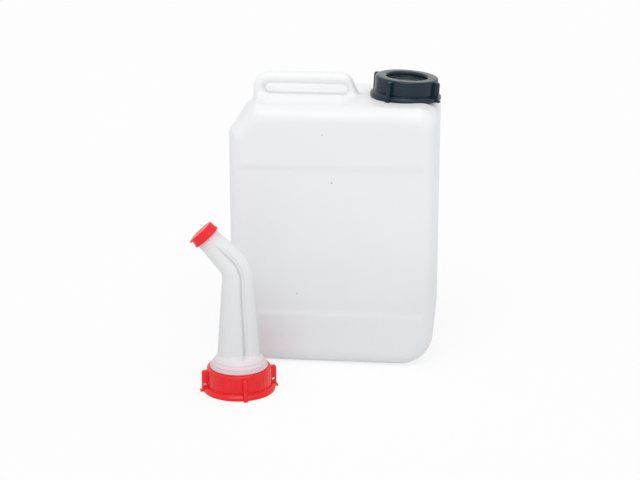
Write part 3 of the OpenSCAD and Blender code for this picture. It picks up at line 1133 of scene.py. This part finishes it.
@dataclass
class Lug:
    """An upright grip lug on a cap or nut, with a foot that stands out past it."""

    root: float
    reach: float
    height: float
    foot: float
    thick: float = 3.4
    round: float = 2.2
    foot_h: float = 1.6
    hole_z: float = 0.0
    hole_r: float = 1.5

    def build(self) -> Piece:
        """The lug along the local X axis."""
        half = self.thick / 2
        fin = block((self.root, -half, 0), (self.reach, half, self.height))
        with editing(fin):
            choose(fin, Domain.EDGE, lambda ends: all(
                abs(p.x - self.reach) < 0.01 and abs(p.z - self.height) < 0.01 for p in ends))
            bevel(self.round, 6)
            choose(fin, Domain.EDGE, lambda ends: on_face(ends, half) and all(
                p.x > self.root + 0.1 for p in ends))
            bevel(0.5, 3)
        if self.hole_z:
            hole = rod(self.hole_r, -self.thick, self.thick, shift(
                self.reach - 1 - self.hole_r, 0, self.hole_z) @ Matrix.Rotation(pi / 2, 4, "X"), 32)
            cut(fin, hole)
        step = block((self.root + 1, -half - 0.3, 0), (self.foot, half + 0.3, self.foot_h))
        with editing(step):
            choose(step, Domain.EDGE, lambda ends: all(
                p.x > self.root + 2 and p.z > 1 for p in ends))
            bevel(0.6, 3)
        return join([fin, step], "lug")


@dataclass
class ScrewCap:
    """The dark screw cap with its flange, lugs, hollow top and inner thread."""

    finish: MouldedPlastic
    place: Matrix
    radius: float = 29.3
    flange_r: float = 33.0
    flange_h: float = 5.2
    height: float = 19.4
    hollow_r: float = 19.2
    hollow_depth: float = 4.6
    rim: float = 2.2
    roof: float = 2.0
    socket_r: float = 25.4
    first_lug: float = -116.0
    lugs: int = 4

    def profile(self) -> list[Point]:
        """The cap's half section, from the middle of its underside to the middle of its top."""
        h, wall, floor = self.height, self.radius, self.height - self.hollow_depth
        under = floor - self.roof
        return rounded([
            (6, under, 0), (self.hollow_r + self.roof, under, 0),
            (self.hollow_r + self.roof, h - self.roof, 0), (self.socket_r, h - self.roof, 0.4),
            (self.socket_r, 0, 0.4), (self.flange_r, 0, 0.5),
            (self.flange_r, self.flange_h * 0.55, 0.7), (wall + 1.3, self.flange_h - 0.3, 0.4),
            (wall + 0.5, self.flange_h - 0.5, 0.2), (wall - 0.35, self.flange_h + 0.1, 0.2),
            (wall, self.flange_h + 1.0, 0.3), (wall, h, self.rim), (self.hollow_r, h, self.rim),
            (self.hollow_r - 0.2, floor, 0.8), (14, floor, 0.2), (13.6, floor + 0.4, 0.2),
            (12.6, floor + 0.4, 0.2), (12.2, floor, 0.2), (3, floor, 0)], 5)

    def build(self) -> None:
        """Builds and dresses the cap."""
        lug = Lug(self.radius - 1, self.flange_r + 1.2, self.height - self.rim / 2,
                  self.flange_r + 2.8)
        places = [self.place @ turn_z(self.first_lug + 360 * k / self.lugs)
                  for k in range(self.lugs)]
        thread = Thread(self.socket_r, -1, 1.6, 126.0)
        parts = [turned(self.profile(), self.place), thread.build(self.place)]
        cap = join(parts + copies(lug.build(), places), "cap_skin")
        dress(cap, self.finish.material(), Body.CAP, ["screw_cap"])


@dataclass
class RingNut:
    """The red ring nut with its ribs, lugs and inner thread."""

    finish: MouldedPlastic
    place: Matrix
    radius: float = 29.3
    flange_r: float = 33.0
    flange_h: float = 5.2
    height: float = 22.0
    rim: float = 2.2
    lip_r: float = 23.6
    lip_t: float = 2.6
    socket_r: float = 25.4
    ribs: int = 32
    first_lug: float = -72.0
    lugs: int = 4

    def profile(self) -> list[Point]:
        """The nut's section, closed on itself."""
        h, wall, under = self.height, self.radius, self.height - self.lip_t
        return rounded([
            (self.socket_r, 0, 0), (self.flange_r, 0, 0.5),
            (self.flange_r, self.flange_h * 0.55, 0.7), (wall + 1.3, self.flange_h - 0.3, 0.4),
            (wall + 0.5, self.flange_h - 0.5, 0.2), (wall - 0.35, self.flange_h + 0.1, 0.2),
            (wall, self.flange_h + 1.0, 0.3), (wall, h, self.rim), (self.lip_r, h, 0.5),
            (self.lip_r, under, 0.3), (self.socket_r, under, 0.3), (self.socket_r, 0, 0)], 5)

    def rib(self) -> Piece:
        """One fine grip rib along the wall."""
        return rod(0.6, self.flange_h, self.height - self.rim - 0.6,
                   shift(self.radius - 0.3, 0, 0), 10)

    def build(self) -> None:
        """Builds and dresses the nut."""
        lug = Lug(self.radius - 1, self.flange_r + 1.2, self.height - self.rim,
                  self.flange_r + 2.8, hole_z=self.flange_h + 1.5)
        lug_places = [self.place @ turn_z(self.first_lug + 360 * k / self.lugs)
                      for k in range(self.lugs)]
        rib_places = [self.place @ turn_z(self.first_lug + 360 * (k + 0.5) / self.ribs)
                      for k in range(self.ribs)]
        thread = Thread(self.socket_r, -1, 2.7)
        parts = [turned(self.profile(), self.place), thread.build(self.place)]
        parts += copies(lug.build(), lug_places) + copies(self.rib(), rib_places)
        dress(join(parts, "nut_skin"), self.finish.material(), Body.NUT, ["ring_nut"])


@dataclass(frozen=True)
class Station:
    """One ring of a spout's passage: where it is, how it leans, and its circle."""

    x: float
    z: float
    lean: float
    offset: float
    radius: float

    @property
    def centre(self) -> Vector:
        """The circle's middle in metres."""
        lean = radians(self.lean)
        return Vector(metres(self.x + self.offset * cos(lean), 0, self.z + self.offset * sin(lean)))


@dataclass
class Spout:
    """The bent pouring spout: two passages side by side on a flare and a collar."""

    finish: MilkyPlastic
    place: Matrix
    start: float = 30.0
    tube_z: float = 34.7
    rise: float = ELBOW_Z
    elbow_r: float = ELBOW_R
    elbow_turn: float = ELBOW_TURN
    tip_len: float = 37.0
    tip_round: float = 12.0
    tip_r: float = 10.9
    wall: float = 1.6
    water: tuple[Point, Point] = ((-4.0, 15.3), (-3.0, 11.0))
    air: tuple[Point, Point] = ((8.0, 11.0), (6.4, 8.6))
    shrink: float = 0.92
    divider: float = 0.8
    divider_x: float = 4.2
    grid: float = 0.75

    def along(self, far: float) -> Point:
        """A point on the axis of the slanted part.

        Args:
            far: How far it lies past the elbow.

        Returns:
            Its x and z.
        """
        turn = radians(self.elbow_turn)
        return (self.elbow_r * (cos(turn) - 1) - far * sin(turn),
                self.rise + self.elbow_r * sin(turn) + far * cos(turn))

    def stations(self, ends: tuple[Point, Point]) -> list[Station]:
        """The rings of one passage, from its foot to the tip.

        Args:
            ends: Offset and radius of its circle, at its foot and at the elbow.

        Returns:
            The rings.
        """
        foot, top = Vector(ends[0]), Vector(ends[1])
        slant, tip = top * self.shrink, Vector((0, self.tip_r))
        rings = [Station(0, self.start, 0, *foot)]
        for k in range(7):
            rings.append(Station(0, self.tube_z + (self.rise - self.tube_z) * k / 6, 0,
                                 *foot.lerp(top, k / 6)))
        for k in range(1, 13):
            lean = self.elbow_turn * k / 12
            rings.append(Station(self.elbow_r * (cos(radians(lean)) - 1),
                                 self.rise + self.elbow_r * sin(radians(lean)), lean,
                                 *top.lerp(slant, k / 12)))
        blend = self.tip_len - self.tip_round
        for k in range(1, 5):
            rings.append(Station(*self.along(blend * k / 4), self.elbow_turn,
                                 *slant.lerp(tip, k / 4)))
        rings.append(Station(*self.along(self.tip_len), self.elbow_turn, *tip))
        return rings

    def passage(self, ends: tuple[Point, Point]) -> Piece:
        """One passage's outside, drawn ring by ring from a circle primitive.

        Args:
            ends: Offset and radius of its circle, at its foot and at the elbow.

        Returns:
            The closed tube.
        """
        rings = self.stations(ends)
        bpy.ops.object.select_all(action="DESELECT")
        bpy.ops.mesh.primitive_circle_add(vertices=64, radius=rings[0].radius * MM,
                                          location=rings[0].centre)
        tube = settle(bpy.context.active_object)
        with editing(tube):
            bpy.ops.mesh.select_mode(type="EDGE")
            bpy.ops.mesh.select_all(action="SELECT")
            close_ring()
            for last, ring in zip(rings, rings[1:]):
                bpy.ops.mesh.extrude_region_move(
                    TRANSFORM_OT_translate={"value": ring.centre - last.centre})
                if ring.lean != last.lean:
                    spin(radians(last.lean - ring.lean), "Y", ring.centre)
                ratio = ring.radius / last.radius
                bpy.ops.transform.resize(value=(ratio,) * 3, center_override=ring.centre)
            outward()
        return tube

    def bore_tools(self) -> list[Piece]:
        """The two halves of the open tip, on both sides of the divider."""
        turn = shift(self.along(self.tip_len)[0], 0, self.along(self.tip_len)[1]) @ turn_y(
            -self.elbow_turn)
        tools = []
        for side in (-1, 1):
            tool = rod(self.tip_r - self.wall, -26, 2, Matrix.Identity(4), 64)
            edge = self.divider_x + side * self.divider
            low, high = sorted((edge, -side * 40))
            cut(tool, block((low, -20, -40), (high, 20, 10)))
            tools.append(settle(tool, turn))
        return tools

    def skin(self) -> Piece:
        """The spout's tube with its flare, blended as blown plastic is."""
        flare = turned(rounded([(23.6, 26.2, 0), (23.6, 27.4, 0), (19.8, 32.6, 1.2),
                                (17.0, 34.0, 0)]), Matrix.Identity(4), 96)
        tube = join([self.passage(self.water), self.passage(self.air), flare], "spout_skin")
        modify(tube, "REMESH", mode="VOXEL", voxel_size=self.grid * MM)
        modify(tube, "SMOOTH", factor=0.5, iterations=2)
        for tool in self.bore_tools():
            cut(tube, tool)
        return settle(tube, self.place)

    def collar(self) -> Piece:
        """The collar with its stepped rings, and the flange inside the nut."""
        profile = rounded([
            (16.5, 17, 0), (24.8, 16.7, 0.3), (24.8, 19.1, 0.3), (23.3, 19.1, 0.2),
            (23.3, 22.3, 0.2), (26.2, 22.3, 0.4), (26.2, 24.0, 0.5), (25.2, 24.3, 0.2),
            (25.2, 25.4, 0.3), (24.2, 25.7, 0.2), (24.2, 27.0, 0.5), (20, 28.4, 0),
            (15.0, 29.0, 0), (16.5, 17, 0)], 3)
        return turned(profile, self.place)

    def build(self) -> None:
        """Builds and dresses the spout."""
        material = self.finish.material()
        dress(self.skin(), material, Body.CAN, ["spout_tube"], 50)
        collar = self.collar()
        collar.name = collar.data.name = "spout_collar"
        dress(collar, material, Body.CAN)


@dataclass
class TipCap:
    """The red cap over the spout's tip, with a bead and a pull tab."""

    finish: MouldedPlastic
    place: Matrix
    inner_r: float = 11.2
    outer_r: float = 12.4
    bead: float = 0.6
    bead_h: float = 2.2
    height: float = 8.6
    wall: float = 1.2
    clear: float = 0.3
    tab_len: float = 2.2
    tab_w: float = 8.0

    def build(self) -> None:
        """Builds and dresses the tip cap, whose place is the end of the spout."""
        r, h = self.outer_r, self.height
        place = self.place @ shift(0, 0, self.clear - (h - self.wall))
        profile = rounded([
            (4, h - self.wall, 0), (self.inner_r, h - self.wall, 0.3), (self.inner_r, 0, 0.2),
            (r + self.bead, 0, 0.4), (r + self.bead, self.bead_h, 0.5),
            (r, self.bead_h + 0.6, 0.3), (r - 0.4, h, 1.0), (10.2, h, 0.2),
            (9.8, h - 0.3, 0.2), (2, h - 0.3, 0)])
        tab = block((-r - self.tab_len + 0.8, -self.tab_w / 2, h - 2.2),
                    (-r + 2, self.tab_w / 2, h - 0.8))
        with editing(tab):
            choose(tab, Domain.EDGE, lambda ends: all(p.x < -r for p in ends)
                   and abs(ends[0].z - ends[1].z) > 1)
            bevel(1.8, 5)
        cap = join([turned(profile, place, 96), settle(tab, place)], "tip_skin")
        dress(cap, self.finish.material(), Body.TIP, ["tip_cap"])


@dataclass
class Studio:
    """The camera of the photograph, a pale floor and soft light."""

    target: Place = (-16.269, 0.0, 103.48)
    distance: float = 1670.385
    azimuth: float = 5.872
    elevation: float = 17.312
    focal: float = 98.1
    sky: float = 0.66
    sun: float = 1.13
    sun_size: float = 50.0
    sun_from: Place = (0.05, -0.47, 0.87)
    white: float = 0.8

    def camera(self) -> None:
        """Adds the camera."""
        az, el = radians(self.azimuth), radians(self.elevation)
        back = Vector((sin(az) * cos(el), -cos(az) * cos(el), sin(el)))
        data = bpy.data.cameras.new("camera")
        data.lens, data.sensor_width = self.focal, 36.0
        data.clip_end = 50.0
        camera = bpy.data.objects.new("camera", data)
        bpy.context.scene.collection.objects.link(camera)
        camera.location = Vector(metres(*self.target)) + back * self.distance * MM
        camera.rotation_euler = (-back).to_track_quat("-Z", "Y").to_euler()
        bpy.context.scene.camera = camera

    def floor(self) -> None:
        """Adds the floor, which keeps the object's shadow."""
        bpy.ops.object.select_all(action="DESELECT")
        bpy.ops.mesh.primitive_plane_add(size=40)
        floor = bpy.context.active_object
        floor.name = "floor"
        shader = Shader.called("pale_floor")
        tone = shader.mix(shader.noise(3, 2), (0.93, 0.93, 0.93), (0.95, 0.95, 0.95))
        cloth = shader.node("ShaderNodeBsdfDiffuse", inputs={"Color": tone})
        glow = shader.node("ShaderNodeEmission", inputs={"Color": opaque(WHITE)})
        inputs = {0: shader.seen() * self.white, 1: cloth, 2: glow}
        floor.data.materials.append(shader.finish(shader.node(
            "ShaderNodeMixShader", inputs=inputs)))

    def light(self) -> None:
        """Adds the sky, which is seen as white, and one soft lamp."""
        world = bpy.data.worlds.new("studio")
        bpy.context.scene.world = world
        shader = Shader(world)
        level = shader.seen() * (1 - self.sky) + self.sky
        backdrop = shader.node("ShaderNodeBackground", inputs={
            "Color": opaque(WHITE), "Strength": level})
        shader.finish(backdrop, "ShaderNodeOutputWorld")
        lamp = bpy.data.lights.new("softbox", "SUN")
        lamp.energy, lamp.angle = self.sun, radians(self.sun_size)
        sun = bpy.data.objects.new("softbox", lamp)
        bpy.context.scene.collection.objects.link(sun)
        sun.rotation_euler = Vector(self.sun_from).to_track_quat("Z", "Y").to_euler()

    def build(self) -> None:
        """Builds the studio."""
        self.camera()
        self.floor()
        self.light()
        bpy.context.scene.view_settings.view_transform = "Standard"


# top and foot bound the painted shade that darkens each piece towards its bottom.
MILKY = CanPlastic("can_plastic", top=215.0, specks=(
    (-8.0, -62.5, 222.4), (0.6, -61.5, 177.4), (-31.5, -61.5, 69.9)))
SPOUT_PLASTIC = SpoutPlastic("spout_plastic", pale=(0.83, 0.835, 0.84), deep=(0.72, 0.735, 0.75),
                             foot=10.0, top=190.0, seam_y=STAND[1])
SLATE = MouldedPlastic("cap_plastic", (0.008, 0.025, 0.037), (0.05, 0.085, 0.1), 0.12,
                       (0.16, 0.3), 0.3)
RED = MouldedPlastic("red_plastic", (0.86, 0.012, 0.016), (0.88, 0.08, 0.075), 0.1, (0.2, 0.36))
BLACK = Rubber("seal_rubber")


def main() -> None:
    """Builds the studio and every piece of the jerrycan."""
    logging.basicConfig(level=logging.INFO)
    Studio().build()
    can = Can(MILKY)
    can.build()
    ScrewCap(SLATE, can.neck @ shift(0, 0, CAP_GAP)).build()
    stand = shift(*STAND, 0.0)
    spout = Spout(SPOUT_PLASTIC, stand)
    spout.build()
    RingNut(RED, stand).build()
    tip_x, tip_z = spout.along(spout.tip_len)
    TipCap(RED, stand @ shift(tip_x, 0, tip_z) @ turn_y(-spout.elbow_turn)).build()
    seal = BLACK.material()
    for node in ("cap_seal", "spout_seal"):
        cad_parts[node].data.materials.clear()
        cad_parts[node].data.materials.append(seal)


if __name__ == "__main__":
    main()
